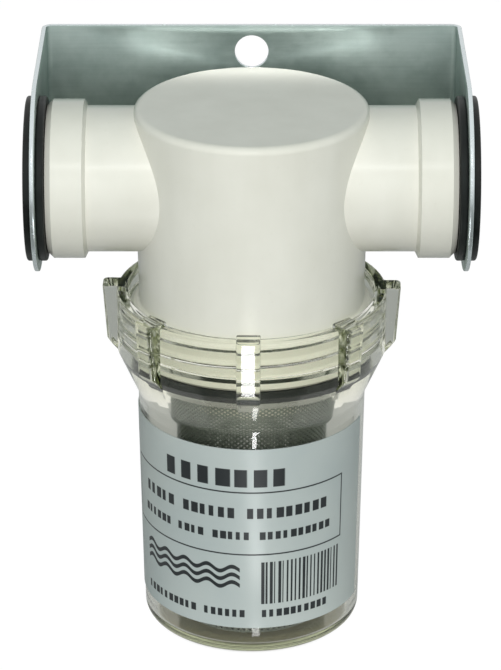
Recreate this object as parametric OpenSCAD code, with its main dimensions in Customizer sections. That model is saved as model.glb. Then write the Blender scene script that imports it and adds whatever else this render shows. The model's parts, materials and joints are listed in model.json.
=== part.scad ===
// Water pump inlet strainer: a moulded head with two threaded ports, a clear
// screw-on bowl with a perforated basket inside, and a folded wall bracket that
// holds the port ends in rubber grommets.
// The bowl's foot is at z = 0, the ports run along X and the front is -Y.

/* [Bowl] */
// Outer radius of the bowl under its cone
bowl_neck_r = 28.6; // [26.5:0.1:30]
// Outer radius of the bowl at its foot
bowl_foot_r = 27.5; // [26:0.1:28.5]
// Thickness of the bowl's wall
bowl_wall = 2.4; // [2:0.1:3]
// Thickness of the bowl's floor
bowl_floor = 2.2; // [2:0.1:5]
// Rounding of the foot's outer edge
foot_round = 3; // [1:0.1:4]
// Rounding where the floor meets the wall, inside
floor_round = 2; // [1:0.1:4]
// Height of the neck, where the cone starts
neck_z = 63.4; // [50:0.2:120]
// Height of the cone between the bowl and its ring
cone_h = 11.6; // [8:0.1:16]
// Outer radius of the threaded ring
ring_r = 33.8; // [33:0.1:37]
// Height of the threaded ring
ring_h = 14.8; // [13.5:0.1:20]
// Rounding of the ring's top edges
ring_round = 0.7; // [0.2:0.1:1.2]
// Depth of the seal's seat below the ring's straight wall
seat_drop = 2; // [1:0.1:4]

/* [Gripping lugs] */
// Number of lugs round the ring
lug_count = 8; // [4:1:12]
// Width of each lug
lug_w = 5.9; // [3:0.1:9]
// Reach of a lug from the bowl's axis, at its top
lug_reach = 37.2; // [35.5:0.1:40]
// How much less a lug reaches at its foot
lug_draft = 1; // [0:0.1:2]
// Height of a lug above the ring
lug_rise = 1.2; // [0.3:0.1:3]
// Rounding of a lug's upright corners
lug_round = 1.3; // [0.5:0.1:2]
// Height of a lug's lower corner above the ring's foot
lug_heel = 1.7; // [0.5:0.1:4]
// Slope of the bevel that runs a lug out into the cone
lug_slope = 48.5; // [35:0.5:55]
// Turn of the lugs from straight ahead
lug_turn = -1.4; // [-20:0.1:20]

/* [Screw joint] */
// Outer radius of the head's threaded spigot
spigot_r = 30.2; // [30:0.1:31]
// Radius of the spigot's mouth
spigot_mouth_r = 25.4; // [25:0.1:26]
// Clearance round the spigot in the ring
screw_clearance = 0.4; // [0.2:0.05:0.8]
// Depth of the spigot's shoulder below the ring's top
shoulder_drop = 2.6; // [0.4:0.1:3]
// Chamfer of the spigot's edges
spigot_chamfer = 0.8; // [0.3:0.1:1.2]

/* [Bowl seal] */
// Thickness of the flat seal
seal_t = 2.4; // [1.5:0.1:3.5]
// Inner radius of the seal
seal_in_r = 26.8; // [26.5:0.1:27.5]
// Clearance round the seal and above it
seal_clearance = 0.1; // [0.05:0.05:0.5]

/* [Head] */
// Height of the port axis above the ring's top
port_rise = 29.3; // [28:0.1:45]
// Height of the head's top above the port axis
head_rise = 19; // [18:0.1:30]
// Outer radius of the head just above its shoulder
head_foot_r = 28.1; // [27.5:0.1:29]
// Fillet where the head rises from its shoulder
head_fillet = 1; // [0.3:0.1:1.2]
// Outer radius of the head at its top
head_top_r = 29; // [28:0.1:31]
// Rounding of the head's top edge
head_round = 1.8; // [0.5:0.1:4]
// Thickness of the head's roof
roof_t = 4; // [2.5:0.1:6]
// Radius of the space inside the head
head_bore_r = 25; // [23:0.1:25.2]
// Radius of the two port tubes
tube_r = 18; // [16:0.1:18.5]
// Radius of the collar at the end of each tube
collar_r = 19.6; // [18.6:0.1:21]
// Length of a collar
collar_l = 9; // [6:0.1:12]
// Bevel of a collar's end
collar_bevel = 1.4; // [0.5:0.1:1.6]
// Length of the slope where a tube steps up to its collar
collar_step = 0.8; // [0.3:0.1:2]
// Distance of a port's end face from the head's axis
port_reach = 50; // [48:0.5:70]
// Radius of a port's threaded socket
socket_r = 12.2; // [10.5:0.1:13]
// Depth of a port's threaded socket
socket_l = 17; // [12:0.5:18]
// Bevel at the mouth of a socket
socket_bevel = 1; // [0.3:0.1:1.5]
// Radius of the water passage behind a socket
passage_r = 10.3; // [8:0.1:10.4]
// Wall of the sleeve between the inner pipe and the outlet
sleeve_wall = 2.4; // [1.5:0.1:3]

/* [Basket] */
// Outer radius of the basket's screen
basket_r = 18.7; // [17:0.1:20]
// Thickness of the screen
screen_t = 0.6; // [0.4:0.1:1]
// Gap between the basket's rim and the head's spigot above
basket_gap = 3; // [1:0.1:6]
// Height of the rim that stiffens the basket's mouth
rim_h = 3; // [2:0.1:6]
// Thickness of the rim
rim_t = 0.9; // [0.5:0.1:1.5]
// Thickness of the plate pressed into the basket's foot
base_t = 0.8; // [0.5:0.1:1.5]
// Plain band of the screen above that plate
base_band = 4.6; // [3:0.1:8]
// Clearance between the basket's screen and the pipe that feeds it
pipe_clearance = 0.3; // [0.2:0.05:0.8]
// Wall of the pipe that reaches into the basket
pipe_wall = 2.2; // [1.5:0.1:3]
// How far the pipe reaches below the spigot
pipe_reach = 9; // [5:0.5:15]
// Rows of holes in the screen
hole_rows = 6; // [3:1:8]
// Holes in each row
holes_per_row = 20; // [8:1:20]
// Radius of a hole
screen_hole_r = 1.4; // [0.8:0.1:1.6]

/* [Label] */
// Thickness of the label
label_t = 0.2; // [0.1:0.05:0.4]
// Thickness of the adhesive between the label and the bowl
label_glue = 0.05; // [0.02:0.01:0.1]
// Height of the label's lower edge
label_z = 8.1; // [6:0.1:12]
// Height of the label
label_h = 50.6; // [20:0.1:52]
// Angle from straight ahead to the label's left edge
label_left = 94.5; // [30:0.5:120]
// Angle from straight ahead to the label's right edge
label_right = 71.5; // [30:0.5:120]

/* [Bracket] */
// Thickness of the sheet
sheet = 1.1; // [1:0.1:2]
// Inner radius of the two folds
fold_r = 1.5; // [1:0.1:4]
// Distance of the bracket's back face from the port axis
back_reach = 42.8; // [41:0.5:60]
// Radius of an ear's round end
ear_r = 24; // [22:0.1:26]
// Height of the round end's centre above the port axis
ear_lift = 1.2; // [0:0.1:3]
// Radius of the hole for a screw
wall_hole_r = 4.3; // [2:0.1:6]
// Height of the screw hole above the port axis
wall_hole_rise = 18.1; // [15:0.1:19]

/* [Grommets] */
// Outer radius of a grommet's flanges
flange_r = 20.3; // [19:0.1:21.5]
// Radius of the hole through a grommet
grommet_bore_r = 15.5; // [14:0.1:16.5]
// Radius of the hole in an ear
ear_hole_r = 17.8; // [17:0.1:18.5]
// Thickness of the flange against the port
inner_flange = 2; // [1.2:0.1:3]
// Thickness of the flange outside the ear
outer_flange = 1.9; // [1.2:0.1:3]
// Rounding of the flanges' edges
flange_round = 0.55; // [0.2:0.05:0.6]
// Clearance between a grommet's groove and the ear's hole
groove_clearance = 0.1; // [0.05:0.05:0.3]
// Gap between a grommet and the port's end face
port_gap = 0.2; // [0.1:0.05:0.5]

/* [Hidden] */
$fn = 96;
eps = 0.01;

// Heights that follow from the bowl
ring_z = neck_z + cone_h;
ring_top = ring_z + ring_h;
seat_z = ring_z - seat_drop;
ring_bore_r = spigot_r + screw_clearance;
bowl_in_neck = bowl_neck_r - bowl_wall;
bowl_in_foot = bowl_foot_r - bowl_wall;

// Heights that follow from the seal and the head
spigot_z = seat_z + seal_t + seal_clearance;
shoulder_z = ring_top - shoulder_drop;
port_z = ring_top + port_rise;
head_top = port_z + head_rise;
pipe_z = spigot_z - pipe_reach;
seal_out_r = spigot_r;
fillet_r = min(head_fillet, spigot_r - spigot_chamfer - head_foot_r);

// Basket
screen_in_r = basket_r - screen_t;
pipe_r = screen_in_r - pipe_clearance;
pipe_in_r = pipe_r - pipe_wall;
basket_z = bowl_floor;
basket_top = spigot_z - basket_gap;
screen_h = basket_top - basket_z;
rim_z = basket_top - rim_h;
row_start = basket_z + base_t + base_band;
row_pitch = (pipe_z - row_start) / hole_rows;

// Bracket
ear_x = port_reach + port_gap + inner_flange;
bracket_top = port_z + ear_lift + ear_r;
bracket_bottom = port_z + ear_lift - ear_r;

// Outer radius of the bowl's wall at a height
function bowl_r(z) =
    bowl_foot_r + (bowl_neck_r - bowl_foot_r) * (z - foot_round) / (neck_z - foot_round);

// Points of a round corner about a centre, from one angle to another
function corner(cx, cy, r, from, to, n = 8) =
    [for (i = [0:n]) [cx + r * cos(from + (to - from) * i / n),
                      cy + r * sin(from + (to - from) * i / n)]];

// Turns a shape that stands along Z to lie along X
module along_x() {
    rotate([0, 90, 0])
        children();
}

// A square with its two upper corners rounded, for revolving
module soft_top(x0, x1, y0, y1, r) {
    polygon(concat([[x0, y0], [x1, y0]],
                   corner(x1 - r, y1 - r, r, 0, 90),
                   corner(x0 + r, y1 - r, r, 90, 180)));
}

// One gripping lug: a flat-faced block that runs out into the cone
module lug() {
    foot_reach = lug_reach - lug_draft;
    heel_z = ring_z + lug_heel;
    root = ring_bore_r + 0.3 * (ring_r - ring_bore_r);
    side = [[root, heel_z - (foot_reach - root) * tan(lug_slope)],
            [foot_reach, heel_z],
            [lug_reach, ring_top + lug_rise],
            [root, ring_top + lug_rise]];
    intersection() {
        rotate([90, 0, 0])
            linear_extrude(height = lug_w, center = true)
                polygon(side);
        linear_extrude(height = ring_top + lug_rise + 1)
            lug_plan();
    }
}

// The lug seen from above, with rounded outer corners
module lug_plan() {
    outer = lug_reach;
    half = lug_w / 2;
    polygon(concat([[ring_bore_r, -half]],
                   corner(outer - lug_round, lug_round - half, lug_round, -90, 0),
                   corner(outer - lug_round, half - lug_round, lug_round, 0, 90),
                   [[ring_bore_r, half]]));
}

// Half section of the bowl with its cone and threaded ring
module bowl_section() {
    outer_foot = corner(bowl_foot_r - foot_round, foot_round, foot_round, -90, 0);
    inner_foot = corner(bowl_in_foot - floor_round, bowl_floor + floor_round,
                        floor_round, 0, -90);
    ring_outer = corner(ring_r - ring_round, ring_top - ring_round, ring_round, 0, 90);
    ring_inner = corner(ring_bore_r + ring_round, ring_top - ring_round,
                        ring_round, 90, 180);
    polygon(concat([[0, 0]], outer_foot,
                   [[bowl_neck_r, neck_z], [ring_r, ring_z]],
                   ring_outer, ring_inner,
                   [[ring_bore_r, seat_z], [bowl_in_neck, seat_z],
                    [bowl_in_neck, neck_z]],
                   inner_foot, [[0, bowl_floor]]));
}

module bowl() {
    color([0.80, 0.79, 0.62, 0.45]) {
        rotate_extrude()
            bowl_section();
        for (i = [0:lug_count - 1])
            rotate(i * 360 / lug_count + lug_turn - 90)
                lug();
    }
}

module label() {
    z0 = label_z;
    z1 = label_z + label_h;
    r0 = bowl_r(z0) + label_glue;
    r1 = bowl_r(z1) + label_glue;
    color([0.68, 0.72, 0.73])
        rotate(-90 - label_left)
            rotate_extrude(angle = label_left + label_right)
                polygon([[r0, z0], [r0 + label_t, z0], [r1 + label_t, z1], [r1, z1]]);
}

module bowl_seal() {
    color([0.12, 0.12, 0.12])
        translate([0, 0, seat_z])
            difference() {
                cylinder(r = seal_out_r, h = seal_t);
                translate([0, 0, -1])
                    cylinder(r = seal_in_r, h = seal_t + 2);
            }
}

// Half section of the head's outside, from the spigot to the rounded top
module head_section() {
    top_arc = corner(head_top_r - head_round, head_top - head_round,
                     head_round, 0, 90);
    foot_arc = corner(head_foot_r + fillet_r, shoulder_z + fillet_r,
                      fillet_r, 270, 180);
    polygon(concat([[0, spigot_z],
                    [spigot_r - spigot_chamfer, spigot_z],
                    [spigot_r, spigot_z + spigot_chamfer],
                    [spigot_r, shoulder_z - spigot_chamfer],
                    [spigot_r - spigot_chamfer, shoulder_z]],
                   foot_arc, top_arc, [[0, head_top]]));
}

// One port tube with its collar, towards +X
module port_tube() {
    along_x()
        rotate_extrude()
            polygon([[0, 0],
                     [tube_r, 0],
                     [tube_r, port_reach - collar_l - collar_step],
                     [collar_r, port_reach - collar_l],
                     [collar_r, port_reach - collar_bevel],
                     [collar_r - collar_bevel, port_reach],
                     [0, port_reach]]);
}

// Threaded socket of a port, towards +X, with its bevelled mouth
module port_socket() {
    translate([port_reach - socket_l, 0, 0])
        along_x()
            cylinder(r = socket_r, h = socket_l + 1);
    translate([port_reach - socket_bevel, 0, 0])
        along_x()
            cylinder(r1 = socket_r, r2 = socket_r + 2 * socket_bevel,
                     h = 2 * socket_bevel);
}

// Water passage from a socket inwards to a distance from the axis, towards +X
module passage(to) {
    translate([to, 0, 0])
        along_x()
            cylinder(r = passage_r, h = port_reach - to - socket_l / 2);
}

module head() {
    cavity_top = head_top - roof_t;
    color([0.90, 0.90, 0.84])
        difference() {
            union() {
                difference() {
                    union() {
                        rotate_extrude()
                            head_section();
                        translate([0, 0, port_z]) {
                            port_tube();
                            mirror([1, 0, 0])
                                port_tube();
                        }
                    }
                    translate([0, 0, spigot_z - 1])
                        cylinder(r = head_bore_r, h = cavity_top - spigot_z + 1);
                    translate([0, 0, spigot_z - eps])
                        cylinder(r1 = spigot_mouth_r, r2 = head_bore_r, h = 2);
                }
                translate([0, 0, pipe_z])
                    cylinder(r = pipe_r, h = cavity_top - pipe_z + 1);
                translate([0, 0, port_z])
                    along_x()
                        cylinder(r = passage_r + sleeve_wall, h = head_bore_r + 1);
            }
            translate([0, 0, pipe_z - 1])
                cylinder(r = pipe_in_r, h = port_z + passage_r - pipe_z + 1);
            translate([0, 0, port_z]) {
                port_socket();
                passage(0);
                mirror([1, 0, 0]) {
                    port_socket();
                    passage(pipe_r + pipe_wall);
                }
            }
        }
}

module basket_screen() {
    color([0.45, 0.46, 0.46])
        difference() {
            translate([0, 0, basket_z])
                cylinder(r = basket_r, h = screen_h);
            translate([0, 0, basket_z - 1])
                cylinder(r = screen_in_r, h = screen_h + 2);
            for (row = [0:hole_rows - 1], i = [0:holes_per_row - 1])
                translate([0, 0, row_start + row * row_pitch])
                    rotate((i + (row % 2) / 2) * 360 / holes_per_row)
                        translate([screen_in_r - 1, 0, 0])
                            along_x()
                                cylinder(r = screen_hole_r, h = screen_t + 2, $fn = 16);
        }
}

// The folded band round the basket's mouth
module basket_rim() {
    color([0.55, 0.56, 0.56])
        translate([0, 0, rim_z])
            rotate_extrude()
                soft_top(basket_r, basket_r + rim_t, 0, rim_h, rim_t * 0.4);
}

// The round plate that closes the basket's foot, inside its screen
module basket_base() {
    color([0.55, 0.56, 0.56])
        translate([0, 0, basket_z])
            cylinder(r = screen_in_r, h = base_t);
}

// The bracket's strip seen from above: two ears and the web between them
module strip_plan() {
    outer_x = ear_x + sheet;
    out_r = fold_r + sheet;
    difference() {
        polygon(concat([[-outer_x, -ear_r - 1], [outer_x, -ear_r - 1]],
                       corner(outer_x - out_r, back_reach - out_r, out_r, 0, 90),
                       corner(out_r - outer_x, back_reach - out_r, out_r, 90, 180)));
        polygon(concat([[-ear_x, -ear_r - 2], [ear_x, -ear_r - 2]],
                       corner(ear_x - fold_r, back_reach - sheet - fold_r,
                              fold_r, 0, 90),
                       corner(fold_r - ear_x, back_reach - sheet - fold_r,
                              fold_r, 90, 180)));
    }
}

// The bracket seen from the side, solid from ear to ear
module ear_prism() {
    half = port_reach * 2;
    translate([-half, 0, port_z + ear_lift])
        along_x()
            cylinder(r = ear_r, h = 2 * half);
    translate([-half, 0, bracket_bottom])
        cube([2 * half, back_reach + 1, bracket_top - bracket_bottom]);
}

module bracket() {
    color([0.50, 0.55, 0.53])
        difference() {
            intersection() {
                translate([0, 0, bracket_bottom - 1])
                    linear_extrude(height = bracket_top - bracket_bottom + 2)
                        strip_plan();
                ear_prism();
            }
            translate([-ear_x - sheet - 1, 0, port_z])
                along_x()
                    cylinder(r = ear_hole_r, h = 2 * (ear_x + sheet + 1));
            translate([0, back_reach + 1, port_z + wall_hole_rise])
                rotate([90, 0, 0])
                    cylinder(r = wall_hole_r, h = sheet + 2, $fn = 48);
        }
}

// A grommet about the port axis, towards +X: inner flange, groove, outer flange
module grommet() {
    r = flange_round;
    groove_r = ear_hole_r - groove_clearance;
    x1 = inner_flange;
    x2 = inner_flange + sheet;
    x3 = x2 + outer_flange;
    color([0.16, 0.19, 0.18])
        translate([ear_x - inner_flange, 0, port_z])
            along_x()
                rotate_extrude()
                    polygon(concat([[grommet_bore_r, 0]],
                                   corner(flange_r - r, r, r, -90, 0),
                                   corner(flange_r - r, x1 - r, r, 0, 90),
                                   [[groove_r, x1], [groove_r, x2]],
                                   corner(flange_r - r, x2 + r, r, -90, 0),
                                   corner(flange_r - r, x3 - r, r, 0, 90),
                                   [[grommet_bore_r, x3]]));
}

module inlet_grommet() {
    mirror([1, 0, 0])
        grommet();
}

module outlet_grommet() {
    grommet();
}

head();
bowl();
label();
bowl_seal();
basket_screen();
basket_rim();
basket_base();
bracket();
inlet_grommet();
outlet_grommet();
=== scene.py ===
# %% [markdown]
# A water pump inlet strainer, dressed for the camera.
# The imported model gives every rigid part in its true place. This script adds what a CAD model is poor at:
# screw threads, a fine perforated sheet, soft edges, print and finishes. Lengths are written in millimetres
# and turned into metres by one small helper, because that is how such a part is drawn.

# %% Load the fixed frame
import json
import math

import bmesh
import bpy
from mathutils import Matrix, Vector


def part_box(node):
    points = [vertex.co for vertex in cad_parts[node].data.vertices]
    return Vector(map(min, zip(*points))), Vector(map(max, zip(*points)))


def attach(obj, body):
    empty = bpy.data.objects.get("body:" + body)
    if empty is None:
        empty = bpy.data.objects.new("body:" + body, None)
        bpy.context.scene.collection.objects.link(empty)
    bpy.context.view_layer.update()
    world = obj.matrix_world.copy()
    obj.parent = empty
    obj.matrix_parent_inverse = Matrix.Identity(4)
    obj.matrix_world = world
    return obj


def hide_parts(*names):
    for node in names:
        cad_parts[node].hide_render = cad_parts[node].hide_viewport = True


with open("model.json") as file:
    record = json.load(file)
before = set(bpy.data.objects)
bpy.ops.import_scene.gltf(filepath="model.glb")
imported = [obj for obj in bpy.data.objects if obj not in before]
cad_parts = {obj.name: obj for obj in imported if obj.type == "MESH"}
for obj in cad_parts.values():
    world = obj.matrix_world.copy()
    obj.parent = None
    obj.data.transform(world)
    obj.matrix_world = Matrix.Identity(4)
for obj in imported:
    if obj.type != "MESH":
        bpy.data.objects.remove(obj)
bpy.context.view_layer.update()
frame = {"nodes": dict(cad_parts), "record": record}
nodes = frame["nodes"]
scene = bpy.context.scene


# %% Millimetres to metres
def mm(*lengths):
    """Metres from millimetres: one number stays a number, several become a tuple."""
    metres = tuple(length / 1000 for length in lengths)
    return metres[0] if len(metres) == 1 else metres


# %% [markdown]
# The drawing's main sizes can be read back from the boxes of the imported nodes, so a piece that is made here
# still fits when the model is packed again at other sizes. A few lengths that no box shows are written down.

# %% Heights and radii that the new pieces share
SEAT_DROP, SEAL_ROOM, LUG_RISE, SHOULDER_DROP = 2.0, 2.5, 1.2, 2.6
HEAD_RISE, SCREW_CLEARANCE = 19.0, 0.4

seal_low, seal_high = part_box("bowl_seal")
screen_low, screen_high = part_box("basket_screen")
bowl_high, head_high, bracket_high = [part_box(name)[1] for name in ("bowl", "head", "bracket")]

SEAT_Z = seal_low.z * 1000
SPIGOT_R = seal_high.x * 1000
SPIGOT_Z = SEAT_Z + SEAL_ROOM
LUG_TOP = bowl_high.z * 1000
RING_TOP = LUG_TOP - LUG_RISE
RING_Z = SEAT_Z + SEAT_DROP
SHOULDER_Z = RING_TOP - SHOULDER_DROP
PORT_Z = head_high.z * 1000 - HEAD_RISE
PORT_X = head_high.x * 1000
BORE_R = SPIGOT_R + SCREW_CLEARANCE
print(f"ring from {RING_Z:.1f} to {RING_TOP:.1f}, bore radius {BORE_R:.1f}, port axis at {PORT_Z:.1f} mm")


# %% [markdown]
# The thread's pitch is not a guess of this script: the model's screw joint says how far the bowl drops for
# each turn, and a thread that is drawn with that pitch really slides along itself when the bowl unscrews.

# %% Pitch of the screw thread, from the joint that couples drop and turn
screw = frame["record"]["behaviour"]["couplings"][0]
PITCH = screw["ratio"] * 2 * math.pi * 1000
print("thread pitch", round(PITCH, 3), "mm, from the joint", screw["joint"])


# %% [markdown]
# Pieces are built in a bmesh, Blender's editing mesh. Each one ends the same way: it becomes an object at
# the origin, its faces are smoothed up to a chosen crease angle, and it is tied to the body that carries it.

# %% From a bmesh to a piece of the object
def as_object(bm, name):
    """A plain object from a bmesh, which is used up."""
    mesh = bpy.data.meshes.new(name)
    bm.to_mesh(mesh)
    bm.free()
    made = bpy.data.objects.new(name, mesh)
    scene.collection.objects.link(made)
    return made


def finish_piece(bm, name, body, crease=35):
    """Turns a bmesh into a piece, smooth up to the crease angle, that rides on a body."""
    piece = as_object(bm, name)
    piece.data.shade_smooth()
    piece.data.set_sharp_from_angle(angle=math.radians(crease))
    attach(piece, body)
    triangles = sum(len(face.vertices) - 2 for face in piece.data.polygons)
    print(name, "on", body, "has", triangles, "triangles")
    return piece


# %% [markdown]
# The bowl and both kinds of thread are round about an axis. Each starts as a half section, the outline that
# a lathe would follow, and is spun once about Z. The seam where the spin meets itself is merged at once,
# because an open seam shows in clear plastic as a crack.

# %% Revolve a half section about the Z axis
STEPS = 144


def revolve(bm, points, closed=True):
    """Spins a half section, given as radius and height in millimetres, once round Z."""
    start = [bm.verts.new(mm(r, 0, z)) for r, z in points]
    links = list(zip(start, start[1:] + start[:1])) if closed else list(zip(start, start[1:]))
    edges = [bm.edges.new(pair) for pair in links]
    bmesh.ops.spin(bm, geom=start + edges, cent=(0, 0, 0), axis=(0, 0, 1), dvec=(0, 0, 0),
                   angle=2 * math.pi, steps=STEPS, use_merge=True, use_duplicate=False)
    bmesh.ops.remove_doubles(bm, verts=bm.verts, dist=mm(0.002))
    bmesh.ops.recalc_face_normals(bm, faces=bm.faces)


def arc(cx, cy, radius, start, stop, count):
    """Points of a round corner, in degrees from one angle to another."""
    angles = [math.radians(start + (stop - start) * i / count) for i in range(count + 1)]
    return [(cx + radius * math.cos(a), cy + radius * math.sin(a)) for a in angles]


def straight(x0, y0, x1, y1, count):
    """Evenly spaced points on a straight stretch, both ends included."""
    return [(x0 + (x1 - x0) * i / count, y0 + (y1 - y0) * i / count) for i in range(count + 1)]


# %% [markdown]
# A screw thread is one ridge that climbs as it goes round. It could be cut with a boolean, but a wall that
# already has enough rows can simply be pushed in and out: each vertex moves along its radius by a wave that
# depends on its height and on its angle together. The wall stays one closed surface.

# %% The thread's wave
RIDGE_SHARE = 0.56


def thread_wave(angle, height, pitch, phase):
    """0 between ridges and 1 on a ridge of a right-handed thread that fills its share of the pitch."""
    turn = (height / pitch - angle / (2 * math.pi) + phase) % 1.0
    from_crest = abs(turn - 0.5) * 2 / RIDGE_SHARE
    return math.cos(from_crest * math.pi / 2) ** 2 if from_crest < 1 else 0.0


def fade(value, low, high, ramp):
    """1 inside a range and 0 outside, with soft ramps at both ends."""
    share = min(1.0, max(0.0, min(value - low, high - value) / ramp))
    return share * share * (3 - 2 * share)


def push_out(vert, distance):
    """Moves a vertex away from the Z axis by so many millimetres, or towards it where they are negative."""
    stretch = 1 + mm(distance) / math.hypot(vert.co.x, vert.co.y)
    vert.co.x *= stretch
    vert.co.y *= stretch


# %% [markdown]
# The bowl is one clear moulding: a cup with a thick floor, a conical shoulder and a threaded ring with
# eight gripping lugs. Clear plastic shows every facet and every inner surface, so the bowl is drawn again
# here as one clean closed shell with a real thread groove, and it stands in for the plainer CAD bowl. Its
# floor stays a hair below the basket: a piece of steel that touches the plastic would put out the light
# that runs inside it.

# %% Half section of the bowl, with the ring's inner wall in fine rows
FOOT_R, NECK_R, RING_R, CONE_H, WALL, HAIR = 27.5, 28.6, 33.8, 11.6, 2.4, 0.05
FOOT_ROUND, FLOOR_ROUND, RING_ROUND, RING_ROWS = 3.0, 1.2, 0.7, 110
FLOOR = screen_low.z * 1000 - HAIR
NECK_Z = RING_Z - CONE_H
IN_NECK, IN_FOOT = NECK_R - WALL, FOOT_R - WALL
# Steps out and up from the neck, where the cup turns softly into the cone
NECK_TURN = ((-0.015, -0.8), (0.03, -0.35), (0.2, 0.2), (0.42, 0.8))


def bowl_points():
    """Radius and height of the bowl's half section, from the axis round and back to the axis."""
    corner_z = RING_TOP - RING_ROUND
    points = [(0.0, 0.0)]
    points += arc(FOOT_R - FOOT_ROUND, FOOT_ROUND, FOOT_ROUND, -90, 0, 10)
    points += [(NECK_R + out, NECK_Z + up) for out, up in NECK_TURN]
    points += [(RING_R, RING_Z)]
    points += arc(RING_R - RING_ROUND, corner_z, RING_ROUND, 0, 90, 5)
    points += arc(BORE_R + RING_ROUND, corner_z, RING_ROUND, 90, 180, 5)
    points += straight(BORE_R, corner_z, BORE_R, SEAT_Z, RING_ROWS)[1:]
    points += [(IN_NECK, SEAT_Z), (IN_NECK, NECK_Z)]
    points += arc(IN_FOOT - FLOOR_ROUND, FLOOR + FLOOR_ROUND, FLOOR_ROUND, 0, -90, 8)
    return points + [(0.0, FLOOR)]


# %% Spin the bowl and press the grooves into its ring
THREAD_DEPTH, THREAD_PHASE, THREAD_END, RUN_OUT = 0.85, 0.44, RING_TOP + 0.9, 1.2
RELIEF_Z, RELIEF_H, RELIEF_BACK, RELIEF_DEPTH = SPIGOT_Z + 2.4, 1.5, 0.4, 0.9


def groove_depth(x, y, z):
    """Depth of the ring's thread groove at a point, or of the plain relief groove below the thread."""
    wave = thread_wave(math.atan2(y, x), z - SPIGOT_Z, PITCH, THREAD_PHASE)
    thread = THREAD_DEPTH * wave * fade(z, RELIEF_Z + RELIEF_H, THREAD_END, RUN_OUT)
    above = z - RELIEF_Z
    back = (RELIEF_H + RELIEF_BACK - above) / RELIEF_BACK
    relief = RELIEF_DEPTH * max(0.0, min(above / RELIEF_H, back))
    return max(thread, relief)


bowl_bm = bmesh.new()
revolve(bowl_bm, bowl_points(), closed=False)
for vert in bowl_bm.verts:
    x, y, z = (c * 1000 for c in vert.co)
    if z > SEAT_Z + HAIR and math.hypot(x, y) < BORE_R + RING_ROUND - HAIR:
        push_out(vert, groove_depth(x, y, z))
print("bowl shell:", len(bowl_bm.faces), "faces")


# %% [markdown]
# A lug is a block that is moulded with the ring, for the hand or a strap wrench to push on. A box is made,
# its lower outer edge is drawn in so that it runs out into the cone, and its outer edges are rounded. Its
# flat faces are inset a little, so that the smooth shading of the rounded edges doesn't spread over them.
# One lug is made and spun into eight copies.

# %% One lug and its seven copies
LUGS, LUG_W, LUG_REACH, LUG_DRAFT, LUG_HEEL, LUG_TURN = 8, 5.9, 37.2, 1.0, 1.7, -1.4
LUG_ROUND, LUG_EDGE, LUG_FLAT, LUG_INSET, LUG_ROOT = 1.3, 0.3, 3.0, 0.08, 0.3
LUG_IN = BORE_R + LUG_ROOT * (RING_R - BORE_R)
LUG_SLOPE = math.tan(math.radians(48.5))


def lug_block(bm):
    """A lug that points along +X: a box whose foot slopes into the cone."""
    foot = LUG_REACH - LUG_DRAFT
    heel_z = RING_Z + LUG_HEEL
    for vert in bmesh.ops.create_cube(bm, size=1.0)["verts"]:
        outer, upper = vert.co.x > 0, vert.co.z > 0
        vert.co.y *= mm(LUG_W)
        vert.co.x = mm((LUG_REACH if upper else foot) if outer else LUG_IN)
        vert.co.z = mm(LUG_TOP if upper else heel_z if outer else heel_z - (foot - LUG_IN) * LUG_SLOPE)
    outer_edges = [edge for edge in bm.edges if min(vert.co.x for vert in edge.verts) > mm(RING_R)]
    upright = [edge for edge in outer_edges if abs(edge.verts[0].co.y - edge.verts[1].co.y) < 1e-6]
    bmesh.ops.bevel(bm, geom=upright, affect="EDGES", offset=mm(LUG_ROUND), segments=5, profile=0.5,
                    material=-1)
    rest = [edge for edge in bm.edges if edge.calc_face_angle(0) > math.radians(40)
            and max(vert.co.x for vert in edge.verts) > mm(RING_R)]
    bmesh.ops.bevel(bm, geom=rest, affect="EDGES", offset=mm(LUG_EDGE), segments=2, profile=0.5, material=-1)
    flats = [face for face in bm.faces if face.calc_area() > mm(LUG_FLAT) ** 2]
    bmesh.ops.inset_individual(bm, faces=flats, thickness=mm(LUG_INSET), depth=0, use_even_offset=True)


lug_bm = bmesh.new()
lug_block(lug_bm)
bmesh.ops.rotate(lug_bm, verts=lug_bm.verts, cent=(0, 0, 0),
                 matrix=Matrix.Rotation(math.radians(LUG_TURN - 90), 3, "Z"))
bmesh.ops.spin(lug_bm, geom=lug_bm.faces[:] + lug_bm.edges[:] + lug_bm.verts[:], cent=(0, 0, 0),
               axis=(0, 0, 1), dvec=(0, 0, 0), angle=2 * math.pi * (LUGS - 1) / LUGS, steps=LUGS - 1,
               use_merge=False, use_duplicate=True)
bmesh.ops.recalc_face_normals(lug_bm, faces=lug_bm.faces)
print("lugs:", len(lug_bm.faces), "faces")


# %% [markdown]
# The ring and its lugs are one piece of plastic. If they only overlapped, light would bend again at walls
# that a real bowl doesn't have. An exact boolean joins them into one skin.

# %% Join the lugs to the bowl
def union(first, second):
    """The bmesh of two objects joined by an exact boolean; both objects are used up."""
    step = first.modifiers.new("step", "BOOLEAN")
    step.operation, step.solver, step.object = "UNION", "EXACT", second
    result = first.evaluated_get(bpy.context.evaluated_depsgraph_get())
    bm = bmesh.new()
    bm.from_mesh(result.to_mesh())
    result.to_mesh_clear()
    for used in (first, second):
        mesh = used.data
        bpy.data.objects.remove(used)
        bpy.data.meshes.remove(mesh)
    return bm


bowl_bm = union(as_object(bowl_bm, "shell"), as_object(lug_bm, "lugs"))
bmesh.ops.remove_doubles(bowl_bm, verts=bowl_bm.verts, dist=mm(0.001))
print("open edges in the bowl:", sum(not edge.is_manifold for edge in bowl_bm.edges))
bowl_piece = finish_piece(bowl_bm, "clear_bowl", "bowl", crease=20)
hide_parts("bowl")


# %% [markdown]
# The white spigot carries the other half of the screw. It is a thin sleeve round the CAD spigot: its inner
# wall is sunk in the spigot and its outer wall has a ridge that runs in the bowl's groove.

# %% The spigot's thread
NEAR = 0.01


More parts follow.
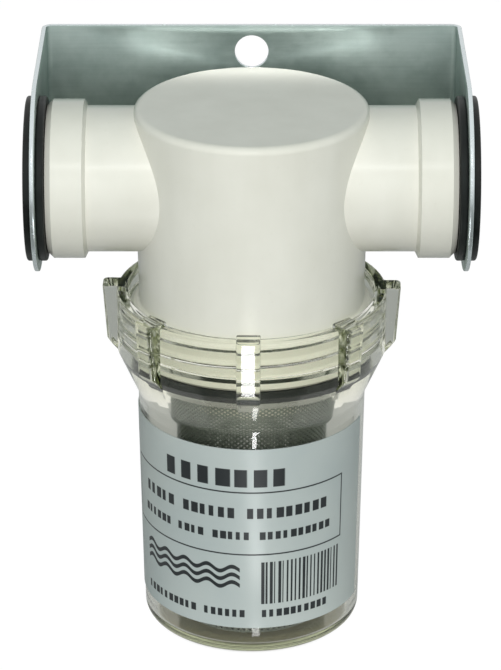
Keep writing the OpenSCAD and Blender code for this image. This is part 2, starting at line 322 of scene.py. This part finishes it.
def threaded_sleeve(r_in, r_out, low, high, depth, pitch, rows, ramp, start=0.0, phase=0.0, inward=False):
    """A closed sleeve about Z with a thread ridge on its outer or inner wall; start is the thread's zero."""
    bm = bmesh.new()
    if inward:
        points = [(r_out, low), (r_out, high)] + straight(r_in, high, r_in, low, rows)
    else:
        points = [(r_in, high), (r_in, low)] + straight(r_out, low, r_out, high, rows)
    revolve(bm, points)
    wall, way = (r_in, -1) if inward else (r_out, 1)
    for vert in bm.verts:
        x, y, z = (c * 1000 for c in vert.co)
        if abs(math.hypot(x, y) - wall) < NEAR:
            wave = thread_wave(math.atan2(y, x), z - start, pitch, phase)
            push_out(vert, way * depth * wave * fade(z, low, high, ramp))
    return bm


SUNK, PROUD, END_GAP, RIDGE, RIDGE_ROWS = 0.3, 0.02, 0.9, 0.55, 70
spigot_bm = threaded_sleeve(SPIGOT_R - SUNK, SPIGOT_R + PROUD, SPIGOT_Z + END_GAP, SHOULDER_Z - END_GAP,
                            RIDGE, PITCH, RIDGE_ROWS, RUN_OUT, start=SPIGOT_Z, phase=THREAD_PHASE)
spigot_thread = finish_piece(spigot_bm, "spigot_thread", "head")


# %% [markdown]
# A real port has a tapered pipe thread inside. Here it is the same straight sleeve with its ridge turned
# inwards, made about Z and then laid along X, because the taper is too slight to see. The thread shows
# through the grommet when the part is seen from the side.

# %% Threads in the two ports
LINER_IN, LINER_OUT, LINER_LOW, LINER_HIGH, LINER_REACH = 12.16, 12.5, 1.2, 16.6, 17.2
TAP_DEPTH, TAP_PITCH, TAP_ROWS, TAP_RUN_OUT = 0.75, 1.814, 72, 1.6


def port_thread(name, side):
    """A threaded liner in one port; side is -1 for the inlet and 1 for the outlet."""
    bm = threaded_sleeve(LINER_IN, LINER_OUT, LINER_LOW, LINER_HIGH, TAP_DEPTH, TAP_PITCH, TAP_ROWS,
                         TAP_RUN_OUT, inward=True)
    turn = Matrix.Rotation(math.radians(90 * side), 3, "Y")
    bmesh.ops.rotate(bm, verts=bm.verts, cent=(0, 0, 0), matrix=turn)
    bmesh.ops.translate(bm, verts=bm.verts, vec=mm(side * (PORT_X - LINER_REACH), 0, PORT_Z))
    return finish_piece(bm, name, "head")


port_threads = [port_thread(name, side) for name, side in (("inlet_thread", -1), ("outlet_thread", 1))]


# %% [markdown]
# The basket is rolled from perforated sheet. Its holes stand in a diamond lattice. A grid whose faces are
# poked and whose first edges are then dissolved gives exactly those diamonds. Each is inset, its inner face
# is made round and taken out, and the flat sheet is rolled up and given its thickness. The tube is made in
# two bands, because one mesh with all the holes would be a heavy one.

# %% Sizes of the perforated sheet
SCREEN_R, SHEET_T = screen_high.x * 1000, 0.4
SCREEN_Z0, SCREEN_Z1 = screen_low.z * 1000, screen_high.z * 1000
COLUMNS, ROWS, HOLE_R, HOLE_INSET, RIM_SINK = 79, 54, 0.3, 0.15, 0.1
CELL_W = 2 * math.pi * SCREEN_R / COLUMNS
CELL_H = (SCREEN_Z1 - SCREEN_Z0) / ROWS
print("lattice of", round(CELL_W, 3), "by", round(CELL_H, 3), "mm, with two holes to a cell")


# %% A flat sheet of diamonds
def diamond_sheet(first_row, last_row):
    """Flat sheet of diamonds between two rows of the lattice, with the list of its hole faces."""
    bm = bmesh.new()
    rows = last_row - first_row
    bmesh.ops.create_grid(bm, x_segments=COLUMNS, y_segments=rows, size=0.5)
    grid_edges = [edge for edge in bm.edges if len(edge.link_faces) == 2]
    bmesh.ops.poke(bm, faces=bm.faces[:])
    bmesh.ops.dissolve_edges(bm, edges=grid_edges, use_verts=False, use_face_split=False)
    for vert in bm.verts:
        vert.co.x = (vert.co.x + 0.5) * COLUMNS * mm(CELL_W)
        vert.co.y = ((vert.co.y + 0.5) * rows + first_row) * mm(CELL_H)
    diamonds = [face for face in bm.faces if len(face.verts) == 4]
    bmesh.ops.inset_individual(bm, faces=diamonds, thickness=mm(HOLE_INSET), depth=0, use_even_offset=True)
    rims = {edge for face in diamonds for edge in face.edges}
    bmesh.ops.subdivide_edges(bm, edges=list(rims), cuts=1)
    return bm, diamonds


# %% A band of the sheet, punched and rolled into a tube
def screen_band(name, first_row, last_row):
    """Punches the round holes, rolls the sheet and gives it its thickness."""
    bm, holes = diamond_sheet(first_row, last_row)
    rims = set()
    for face in holes:
        centre = face.calc_center_median()
        for vert in face.verts:
            vert.co = centre + (vert.co - centre).normalized() * mm(HOLE_R)
            rims.add(vert)
    bmesh.ops.delete(bm, geom=holes, context="FACES_ONLY")
    for vert in bm.verts:
        radius = mm(SCREEN_R - (RIM_SINK if vert in rims else 0))
        angle = vert.co.x / mm(SCREEN_R)
        vert.co = (radius * math.cos(angle), radius * math.sin(angle), mm(SCREEN_Z0) + vert.co.y)
    bmesh.ops.remove_doubles(bm, verts=bm.verts, dist=mm(0.005))
    bmesh.ops.recalc_face_normals(bm, faces=bm.faces)
    bmesh.ops.solidify(bm, geom=bm.faces[:], thickness=mm(SHEET_T))
    return finish_piece(bm, name, "bowl", crease=40)


HALF = ROWS // 2
lower_screen = screen_band("screen_lower", 0, HALF)
upper_screen = screen_band("screen_upper", HALF, ROWS)
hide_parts("basket_screen")
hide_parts("basket_screen")


# %% [markdown]
# The bracket is sheet steel, and sheared sheet has a bright, slightly broken edge. The CAD bracket has
# sharp edges, so a copy of it is merged into whole faces and its edges are bevelled. Every face keeps a
# number that says whether it was cut, so that the cut can take a brighter finish than the flat of the sheet.

# %% A copy of the bracket's sheet, and how a cut face is told from the sheet's own
FOLD_DEPTH, FOLD_WIDTH, EDGE_BREAK = 3, 4, 0.22


def merged_copy(node):
    """A bmesh copy of a CAD node with its loose triangles merged into flat faces."""
    bm = bmesh.new()
    bm.from_mesh(nodes[node].data)
    bmesh.ops.remove_doubles(bm, verts=bm.verts, dist=mm(0.002))
    bmesh.ops.dissolve_limit(bm, angle_limit=math.radians(0.5), verts=bm.verts, edges=bm.edges)
    return bm


def was_cut(face):
    """1 for a face across the sheet's thickness, 0 for a face of the sheet or of its folds."""
    centre = face.calc_center_median()
    if centre.y < bracket_high.y - mm(FOLD_DEPTH):
        return float(abs(face.normal.x) < 0.5)
    if abs(centre.x) < bracket_high.x - mm(FOLD_WIDTH):
        return float(abs(face.normal.y) < 0.5)
    return float(abs(face.normal.z) > 0.5)


# %% The bracket with broken edges
bracket_bm = merged_copy("bracket")
sharp = [edge for edge in bracket_bm.edges
         if len(edge.link_faces) == 2 and edge.calc_face_angle(0) > math.radians(50)]
bmesh.ops.bevel(bracket_bm, geom=sharp, affect="EDGES", offset=mm(EDGE_BREAK), segments=2, profile=0.5,
                material=-1)
bmesh.ops.recalc_face_normals(bracket_bm, faces=bracket_bm.faces)
cut_number = bracket_bm.faces.layers.float.new("cut")
for face in bracket_bm.faces:
    face[cut_number] = was_cut(face)
bracket_piece = finish_piece(bracket_bm, "bracket_plate", "bracket", crease=40)
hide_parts("bracket")


# %% [markdown]
# A finish is a small network of shader nodes. Written by hand it is long and hard to read, so two helpers
# carry it. Value wraps a socket that holds a number, and Python's operators on it add Math nodes. Finish
# owns one material and adds any other node by its type, its settings and what goes into its sockets.

# %% Numbers in a shader, as Python expressions
class Value:
    """A number somewhere in a shader; arithmetic on it adds Math nodes."""

    def __init__(self, finish, socket):
        self.finish, self.socket = finish, socket

    def __add__(self, other):
        return self.finish.maths("ADD", self, other)

    def __sub__(self, other):
        return self.finish.maths("SUBTRACT", self, other)

    def __rsub__(self, other):
        return self.finish.maths("SUBTRACT", other, self)

    def __mul__(self, other):
        return self.finish.maths("MULTIPLY", self, other)

    def __truediv__(self, other):
        return self.finish.maths("DIVIDE", self, other)

    def __rtruediv__(self, other):
        return self.finish.maths("DIVIDE", other, self)

    def __gt__(self, other):
        return self.finish.maths("GREATER_THAN", self, other)

    def __lt__(self, other):
        return self.finish.maths("LESS_THAN", self, other)

    __radd__, __rmul__ = __add__, __mul__


# %% One material and the nodes in it
class Finish:
    """A material with a Principled shader, built up node by node."""

    def __init__(self, name, **constants):
        self.material = bpy.data.materials.new(name)
        self.material.use_nodes = True
        self.tree = self.material.node_tree
        self.shader = self.tree.nodes["Principled BSDF"]
        self.output = self.tree.nodes["Material Output"]
        self.shade(**constants)

    def set(self, node, socket, value):
        """Links a socket or sets its value."""
        target = node.inputs[socket]
        if isinstance(value, Value):
            value = value.socket
        if isinstance(value, bpy.types.NodeSocket):
            self.tree.links.new(value, target)
        elif isinstance(value, tuple) and len(value) == 3 and target.type == "RGBA":
            target.default_value = (*value, 1)
        else:
            target.default_value = value

    def add(self, kind, settings=None, **sockets):
        """Any node: its type, its settings, then values or links by socket name, or by number as _0."""
        node = self.tree.nodes.new("ShaderNode" + kind)
        for key, value in (settings or {}).items():
            setattr(node, key, value)
        for key, value in sockets.items():
            self.set(node, int(key[1:]) if key[0] == "_" else key.replace("_", " "), value)
        return node

    def shade(self, **sockets):
        """Feeds the Principled shader."""
        for socket, value in sockets.items():
            self.set(self.shader, socket.replace("_", " "), value)
        return self.material

    def maths(self, operation, *values):
        """A Math node on numbers and Values."""
        node = self.add("Math", {"operation": operation}, **{f"_{i}": v for i, v in enumerate(values)})
        return Value(self, node.outputs[0])

    def place(self):
        """The point on the piece, as a vector socket."""
        return self.add("TexCoord").outputs["Object"]

    def axes(self):
        """The point's x, y and z as Values, in metres."""
        split = self.add("SeparateXYZ", Vector=self.place())
        return [Value(self, split.outputs[i]) for i in range(3)]

    def noise(self, scale, detail, rough, stretch=(1, 1, 1)):
        """Cloudy noise from 0 to 1, with so many cells to a metre."""
        mapping = self.add("Mapping", Vector=self.place(), Scale=stretch)
        node = self.add("TexNoise", Vector=mapping.outputs[0], Scale=scale, Detail=detail, Roughness=rough)
        return Value(self, node.outputs["Fac"])

    def ramp(self, value, low, high, start=0.0, stop=1.0):
        """A value carried from one range to another, and held at the ends."""
        node = self.add("MapRange", {"clamp": True}, Value=value, From_Min=low, From_Max=high, To_Min=start,
                        To_Max=stop)
        return Value(self, node.outputs[0])

    def mix(self, share, first, second):
        """A colour between two colours or colour sockets."""
        return self.add("Mix", {"data_type": "RGBA"}, Factor=share, _6=first, _7=second).outputs[2]

    def bump(self, height, distance, strength):
        """A normal from a height, with the relief's depth in metres."""
        return self.add("Bump", Height=height, Distance=distance, Strength=strength).outputs[0]


# %% Colours, and giving a finish to pieces
def srgb(red, green, blue):
    """Scene colour of a colour that is written as screen values from 0 to 255."""
    def channel(value):
        value /= 255
        return value / 12.92 if value <= 0.04045 else ((value + 0.055) / 1.055) ** 2.4

    return (channel(red), channel(green), channel(blue))


def wear(finish, *targets):
    """Gives a finish to pieces or CAD nodes, in every material slot that they have."""
    for target in targets:
        mesh = (nodes[target] if isinstance(target, str) else target).data
        mesh.materials.clear()
        mesh.materials.append(finish)
    print(finish.name, "has", len(finish.node_tree.nodes), "nodes and is worn by", len(targets), "pieces")


# %% [markdown]
# The head is moulded in ivory PVC. Up close such a moulding is not one flat white: it has slow clouds from
# the melt, a fine satin grain and a soft shine. Its edges are already rounded in the CAD model.

# %% Ivory PVC of the head
def ivory_pvc():
    pvc = Finish("ivory_pvc", IOR=1.45)
    clouds = pvc.noise(45, 4, 0.55)
    streaks = pvc.noise(120, 3, 0.5, stretch=(1, 1, 0.25))
    specks = pvc.ramp(pvc.noise(900, 1, 0.4), 0.70, 0.78)
    tone = pvc.ramp(clouds * 0.6 + streaks * 0.4, 0.35, 0.65)
    colour = pvc.mix(tone, srgb(223, 221, 210), srgb(231, 229, 219))
    colour = pvc.mix(specks * 0.06, colour, srgb(190, 186, 168))
    grain = clouds * 0.8 + pvc.noise(700, 1, 0.4) * 0.2
    return pvc.shade(Base_Color=colour, Roughness=pvc.ramp(streaks, 0.3, 0.7, 0.2, 0.26),
                     Normal=pvc.bump(grain, mm(0.03), 0.25))


wear(ivory_pvc(), "head", spigot_thread, *port_threads)


# %% [markdown]
# The clear bowl lets light in and bends what stands behind it. A Principled shader with full transmission
# does the bending, and a plain absorption inside gives thick parts their yellow-olive tint. A lamp is hard
# to find through a surface that bends, so shadow rays and rays off dull surfaces meet a Transparent shader
# instead, and the basket inside is lit.

# %% Clear moulding of the bowl
def clear_moulding():
    clear = Finish("clear_moulding", Transmission_Weight=1.0, IOR=1.5, Roughness=0.06,
                   Base_Color=(1.0, 0.99, 0.96))
    clear.shade(Normal=clear.bump(clear.noise(60, 2, 0.4), mm(0.06), 0.3))
    path = clear.add("LightPath")
    open_ray = clear.maths("MAXIMUM", path.outputs["Is Shadow Ray"], path.outputs["Is Diffuse Ray"])
    open_air = clear.add("BsdfTransparent", Color=(0.98, 0.98, 0.95))
    either = clear.add("MixShader", _0=open_ray, _1=clear.shader.outputs[0], _2=open_air.outputs[0])
    clear.set(clear.output, "Surface", either.outputs[0])
    tint = clear.add("VolumeAbsorption", Color=(0.64, 0.68, 0.46), Density=36.0)
    clear.set(clear.output, "Volume", tint.outputs[0])
    return clear.material


wear(clear_moulding(), bowl_piece)


# %% [markdown]
# The bracket is cold-rolled sheet with a pale zinc coat: a grey-green metal, cloudy where it was handled,
# with faint rolling lines. It mirrors softly, so its colour is set low and the surroundings fill it. Where
# the sheet was cut, the number that its faces keep turns the colour paler and the shine tighter.

# %% Zinc on the bracket
def zinc_sheet():
    zinc = Finish("zinc_sheet", Metallic=0.7)
    clouds = zinc.noise(70, 5, 0.6)
    spots = zinc.noise(420, 3, 0.55)
    lines = zinc.noise(260, 3, 0.6, stretch=(0.12, 1, 6))
    cut = Value(zinc, zinc.add("Attribute", {"attribute_name": "cut"}).outputs["Fac"])
    tone = zinc.ramp(clouds * 0.55 + spots * 0.25 + lines * 0.2, 0.36, 0.64)
    sheet = zinc.mix(tone, srgb(152, 168, 163), srgb(176, 190, 185))
    roughness = zinc.ramp(spots, 0.3, 0.7, 0.32, 0.44) * (1 - cut * 0.35)
    return zinc.shade(Base_Color=zinc.mix(cut, sheet, srgb(214, 222, 224)), Roughness=roughness,
                      Normal=zinc.bump(lines * 0.4 + spots * 0.6, mm(0.03), 0.4))


wear(zinc_sheet(), bracket_piece)


# %% [markdown]
# Rubber is nearly black, a little dusty and never quite smooth. A plain black would swallow the rounded
# edges of the grommets, so one noise mixes a dusty grey into the colour and makes the same spots duller,
# and a fine grain breaks up the shine.

# %% Rubber of the grommets and the seal
def rubber(name, dark, dusty, roughness):
    skin = Finish(name, IOR=1.35)
    dust = skin.ramp(skin.noise(180, 5, 0.65), 0.42, 0.75)
    grain = skin.noise(1400, 2, 0.6)
    return skin.shade(Base_Color=skin.mix(dust * 0.6, dark, dusty), Normal=skin.bump(grain, mm(0.04), 0.5),
                      Roughness=skin.ramp(dust, 0.0, 1.0, roughness, roughness + 0.2))


wear(rubber("grommet_rubber", srgb(15, 18, 17), srgb(38, 44, 42), 0.42), "inlet_grommet", "outlet_grommet")
wear(rubber("seal_rubber", srgb(28, 31, 30), srgb(48, 52, 50), 0.45), "bowl_seal")


# %% [markdown]
# The basket is plain stainless steel. The perforated sheet is less shiny than the smooth band at its mouth
# and the plate at its foot, and its colour is painted darker: a painted shade for the light that each hole's
# edge scatters. Brushed lines and stains are the same on both, so one function makes the two steels.

# %% Steel of the basket
def basket_steel(name, dark, pale, roughness, metallic):
    steel = Finish(name, Metallic=metallic)
    brushed = steel.noise(300, 4, 0.6, stretch=(1, 1, 8))
    stains = steel.noise(60, 4, 0.6)
    tone = steel.ramp(brushed * 0.5 + stains * 0.5, 0.35, 0.65)
    return steel.shade(Base_Color=steel.mix(tone, dark, pale), Normal=steel.bump(brushed, mm(0.02), 0.4),
                       Roughness=steel.ramp(stains, 0.3, 0.7, roughness, roughness + 0.12))


# The screen's darker colours are painted shade for the light that its hole edges scatter.
screen_steel = basket_steel("screen_steel", srgb(122, 130, 123), srgb(158, 165, 157), 0.33, 0.75)
band_steel = basket_steel("band_steel", srgb(150, 152, 148), srgb(180, 182, 178), 0.22, 1.0)
wear(screen_steel, lower_screen, upper_screen)
wear(band_steel, "basket_rim", "basket_base")


# %% [markdown]
# The label is a satin film with a dark print. The print is worked out from two lengths: how far a point lies
# round the bowl from straight ahead, and how high it stands. Words have no place here, so rows of plain bars
# and some waves hold the room that print takes on such a part.

# %% Print on the label
FILM_R, BLUR, WIDEST = 28.3, 0.06, 0.8
BORDER_LEFT, BORDER_RIGHT, BORDER_LOW, BORDER_TOP, BORDER_T = -39.6, 25.9, 29.0, 46.9, 0.4
WAVE_LEFT, WAVE_RIGHT, WAVE_L, WAVE_RISE, WAVE_T, WAVES_Z = -33.5, -3.0, 6.6, 0.75, 1.15, (19.9, 22.1, 24.3)


def label_print(film):
    """1 where the label is inked and 0 where it is bare."""
    x, y, z = film.axes()
    around = film.maths("ARCTAN2", x, y * -1.0) * FILM_R
    high = z * 1000.0

    def inside(value, low, top):
        """1 between two lengths, with a narrow blur at both."""
        rise = film.ramp(value, low - BLUR, low + BLUR)
        return rise * film.ramp(value, top - BLUR, top + BLUR, 1.0, 0.0)

    def block(left, right, low, top):
        return inside(around, left, right) * inside(high, low, top)

    def joined(*masks):
        total = masks[0]
        for mask in masks[1:]:
            total = film.maths("MAXIMUM", total, mask)
        return total

    def row(start, pitch, low, top, *words, thin=0.5):
        """Bars of uneven width between two heights; each word is a first and a last cell of the row."""
        step = (around - start) / pitch
        cell = film.maths("FLOOR", step)
        noise = film.add("TexWhiteNoise", {"noise_dimensions": "1D"}, W=cell + low)
        luck = Value(film, noise.outputs["Value"])
        bar = film.ramp(step - cell - luck * (WIDEST - thin) - thin, -0.03, 0.03, 1.0, 0.0)
        room = joined(*[(cell > first - 0.5) * (cell < last + 0.5) for first, last in words])
        return bar * room * inside(high, low, top)

    hollow = block(BORDER_LEFT + BORDER_T, BORDER_RIGHT - BORDER_T,
                   BORDER_LOW + BORDER_T, BORDER_TOP - BORDER_T)
    border = block(BORDER_LEFT, BORDER_RIGHT, BORDER_LOW, BORDER_TOP) * (1 - hollow)
    crest = high - film.maths("SINE", around * (2 * math.pi / WAVE_L)) * WAVE_RISE
    waves = joined(*[inside(crest, low, low + WAVE_T) for low in WAVES_Z])
    rows = [row(-23.5, 4.8, 48.2, 53.1, (0, 6)),
            row(-33, 2.45, 39.4, 42.3, (0, 4), (6, 11), (13, 21)),
            row(-34, 2.0, 33.4, 35.6, (0, 5), (7, 10), (12, 16), (18, 27)),
            row(-33.5, 1.9, 11.2, 13.3, (0, 9), (11, 16), (19, 28)),
            row(2.4, 1.1, 15.0, 27.0, (0, 20), thin=0.25)]
    return joined(border, waves * inside(around, WAVE_LEFT, WAVE_RIGHT), *rows)


# %% Film of the label
def label_film():
    film = Finish("label_film", IOR=1.45)
    ink = label_print(film)
    clouds = film.ramp(film.noise(30, 3, 0.5), 0.35, 0.65)
    bare = film.mix(clouds, srgb(182, 191, 190), srgb(194, 201, 198))
    return film.shade(Base_Color=film.mix(ink, bare, srgb(38, 42, 44)),
                      Roughness=film.ramp(ink, 0, 1, 0.36, 0.5),
                      Normal=film.bump(film.noise(200, 2, 0.5), mm(0.03), 0.25))


wear(label_film(), "label")


# %% [markdown]
# The floor and what stands round it are only there to be pale. Rays from the camera, and rays that left a
# shiny or a clear surface, see white. All other rays see a plain level that lights the object. The floor
# keeps a share of a real surface so that the object's shadow shows on it, a larger one where it is seen
# through the clear bowl or in the metal. Under the foot the floor is painted darker and shows no white: a
# painted shadow, about as wide as the foot.

# %% Pale floor and surroundings
CAMERA_SHARE, MIRROR_SHARE, WHITE_STRENGTH = 0.95, 0.25, 1.05
# The round patch under the foot is a painted shadow: a darker floor colour with no share of white.
FOOT_SHADOW_R, FOOT_SHADOW_EDGE, FOOT_SHADOW_COLOUR, FLOOR_COLOUR = 0.026, 0.002, srgb(150, 144, 118), (0.5, 0.5, 0.5)


def seen(finish):
    """1 for rays from the camera or off a shiny or clear surface."""
    path = finish.add("LightPath")
    shiny = finish.maths("MAXIMUM", path.outputs["Is Camera Ray"], path.outputs["Is Glossy Ray"])
    return finish.maths("MAXIMUM", shiny, path.outputs["Is Transmission Ray"])


def pale_floor():
    pale = Finish("pale_floor", Roughness=0.9)
    x, y = pale.axes()[:2]
    # Outside the painted shadow under the foot, the floor takes its own colour and its share of white.
    clear_of_foot_shadow = pale.ramp(pale.maths("SQRT", x * x + y * y), FOOT_SHADOW_R - FOOT_SHADOW_EDGE, FOOT_SHADOW_R)
    pale.shade(Base_Color=pale.mix(clear_of_foot_shadow, FOOT_SHADOW_COLOUR, FLOOR_COLOUR))
    camera_ray = Value(pale, pale.add("LightPath").outputs["Is Camera Ray"])
    share = seen(pale) * clear_of_foot_shadow * (camera_ray * (CAMERA_SHARE - MIRROR_SHARE) + MIRROR_SHARE)
    white = pale.add("Emission", Color=(1.0, 1.0, 1.0), Strength=WHITE_STRENGTH)
    both = pale.add("MixShader", _0=share, _1=pale.shader.outputs[0], _2=white.outputs[0])
    pale.set(pale.output, "Surface", both.outputs[0])
    return pale.material


# %% Flat sheets that dress the stage
def stage_sheet(name, half_width, half_depth, y, z, material):
    """A flat sheet of stage, in millimetres, that lies at a height and wears a material."""
    bm = bmesh.new()
    bmesh.ops.create_grid(bm, x_segments=1, y_segments=1, size=1.0)
    bmesh.ops.scale(bm, verts=bm.verts, vec=(mm(half_width), mm(half_depth), 1))
    bmesh.ops.translate(bm, verts=bm.verts, vec=mm(0, y, z))
    sheet = as_object(bm, name)
    sheet.data.materials.append(material)
    print(name, "lies at", z, "mm")
    return sheet


floor = stage_sheet("floor", 6000, 6000, 0, -0.05, pale_floor())


# %% [markdown]
# Metal and clear plastic show what lies before them as much as their own colour, and with white all round
# they would look like paper. A dark card lies on the floor in front of the part, for them to mirror. Part of
# it is inside the picture, so rays from the camera pass it by.

# %% The dark card
card_colour = Finish("dark_card", Roughness=0.8, Base_Color=srgb(66, 72, 66)).material
card = stage_sheet("dark_card", 260, 270, -311, 0.5, card_colour)
card.visible_camera = False


# %% [markdown]
# The world is the room's own light. The test that the floor makes is made here too: what is looked at is
# white, and what lights the part is a low, even level with a little green in it.

# %% The world's light
LEVEL, ROOM_COLOUR = 0.255, (0.80, 1.0, 0.95)


class Surroundings(Finish):
    """The world's node tree, with the same helpers as a material."""

    def __init__(self, world):
        world.use_nodes = True
        self.tree = world.node_tree
        self.tree.nodes.clear()
        self.output = self.tree.nodes.new("ShaderNodeOutputWorld")


scene.world = bpy.data.worlds.new("surroundings")
room = Surroundings(scene.world)
room_light = room.add("Background", Color=ROOM_COLOUR, Strength=LEVEL)
room_white = room.add("Background", Color=(1.0, 1.0, 1.0), Strength=1.0)
room_both = room.add("MixShader", _0=seen(room), _1=room_light.outputs[0], _2=room_white.outputs[0])
room.set(room.output, "Surface", room_both.outputs[0])
print("world level", LEVEL)


# %% [markdown]
# A soft lamp over the camera shapes the forms, and a wide one lower down fills the undersides. Their own
# mirror image would be a hard white patch on the ports, so both are hidden from shiny and clear surfaces. A
# third lamp is the opposite: it lights nothing and is only there as the long soft streak on the mouldings.

# %% Lamps
MIDDLE_Z = 80


def area_lamp(name, width, height, watts):
    """A rectangular lamp, sized in millimetres."""
    data = bpy.data.lights.new(name, "AREA")
    data.shape, data.size, data.size_y = "RECTANGLE", mm(width), mm(height)
    data.energy = watts
    lamp = bpy.data.objects.new(name, data)
    scene.collection.objects.link(lamp)
    print(name, "gives", round(watts, 4), "W")
    return lamp


def soft_lamp(name, elevation, distance, width, height, watts):
    """A lamp in front, raised by an angle, that points at the middle of the object."""
    lamp = area_lamp(name, width, height, watts)
    rise = math.radians(elevation)
    away = Vector((0, -math.cos(rise), math.sin(rise)))
    lamp.location = Vector(mm(0, 0, MIDDLE_Z)) + away * mm(distance)
    lamp.rotation_euler = away.to_track_quat("Z", "Y").to_euler()
    return lamp


for hidden in (soft_lamp("front_lamp", 40, 1300, 190, 120, 4.2),
               soft_lamp("low_fill", 15, 1600, 900, 400, 15.8)):
    hidden.visible_glossy = hidden.visible_transmission = hidden.visible_camera = False
soft_lamp("shine", 40, 1300, 190, 50, 0.8).visible_diffuse = False


# %% [markdown]
# A camera that looks down sees the table in an upright shiny wall. Small glowing strips on the table in
# front give the bowl and its front lug the tall white glint that such a part has. Two more stand for light
# that the part throws on itself: from the bracket's upright web to the far edge of the head's top, and back
# from that top to the web. They are thin lines, because only their light is wanted.

# %% Glowing strips on the table and behind the head
def strip(name, place, tilt, width, length, watts):
    """A small flat lamp at a place in millimetres, tilted from facing up towards the front."""
    made = area_lamp(name, width, length, watts)
    made.location = mm(*place)
    made.rotation_euler = (math.radians(180 + tilt), 0, 0)
    made.visible_transmission = made.visible_camera = False
    return made


def table_strip(name, x, y, width, length, radiance):
    """A strip that lies on the table and only shows in reflections."""
    made = strip(name, (x, y, 1), 0, width, length, radiance * math.pi * mm(width) * mm(length))
    made.visible_diffuse = False


def glow(name, y, z, tilt, width, watts, spread):
    """A line of light behind the head, 1 mm high, with a spread in degrees."""
    made = strip(name, (0, y, z), tilt, width, 1, watts)
    made.data.spread = math.radians(spread)
    return made


table_strip("lug_strip", -8, -169, 16, 44, 18)
table_strip("label_strip", 5, -110.5, 8, 93, 18)
table_strip("foot_strip", 1.7, -39, 3, 10, 7)
glow("web_glow", 40.9, 142.6, 105, 52, 0.0011, 14).visible_glossy = False
glow("disc_glow", 27, 139.2, -75, 58, 0.0006, 120)


# %% [markdown]
# The camera was found by fitting the model's own edges to the photograph: a long lens, above the part and
# looking down by about 24 degrees. Clear plastic needs many bounces, or its thick parts turn black.

# %% Camera
DISTANCE, PITCH_DOWN, AIM_X, AIM_Z, FOCAL_PIXELS = 850.0, 24.5, -0.3, 76.7, 3381.0
SENSOR, PICTURE_HEIGHT, BOUNCES = 36.0, 670, 24
down = math.radians(PITCH_DOWN)
camera_data = bpy.data.cameras.new("camera")
camera_data.sensor_width = SENSOR
camera_data.lens = FOCAL_PIXELS * SENSOR / PICTURE_HEIGHT
camera_data.clip_start, camera_data.clip_end = 0.05, 30.0
camera = bpy.data.objects.new("camera", camera_data)
scene.collection.objects.link(camera)
camera.location = mm(AIM_X, -DISTANCE * math.cos(down), AIM_Z + DISTANCE * math.sin(down))
camera.rotation_euler = (math.pi / 2 - down, 0, 0)
scene.camera = camera
scene.view_settings.view_transform = "Standard"
scene.cycles.max_bounces = scene.cycles.transmission_bounces = scene.cycles.glossy_bounces = BOUNCES
print("lens", round(camera_data.lens, 1), "mm at", [round(c, 3) for c in camera.location])
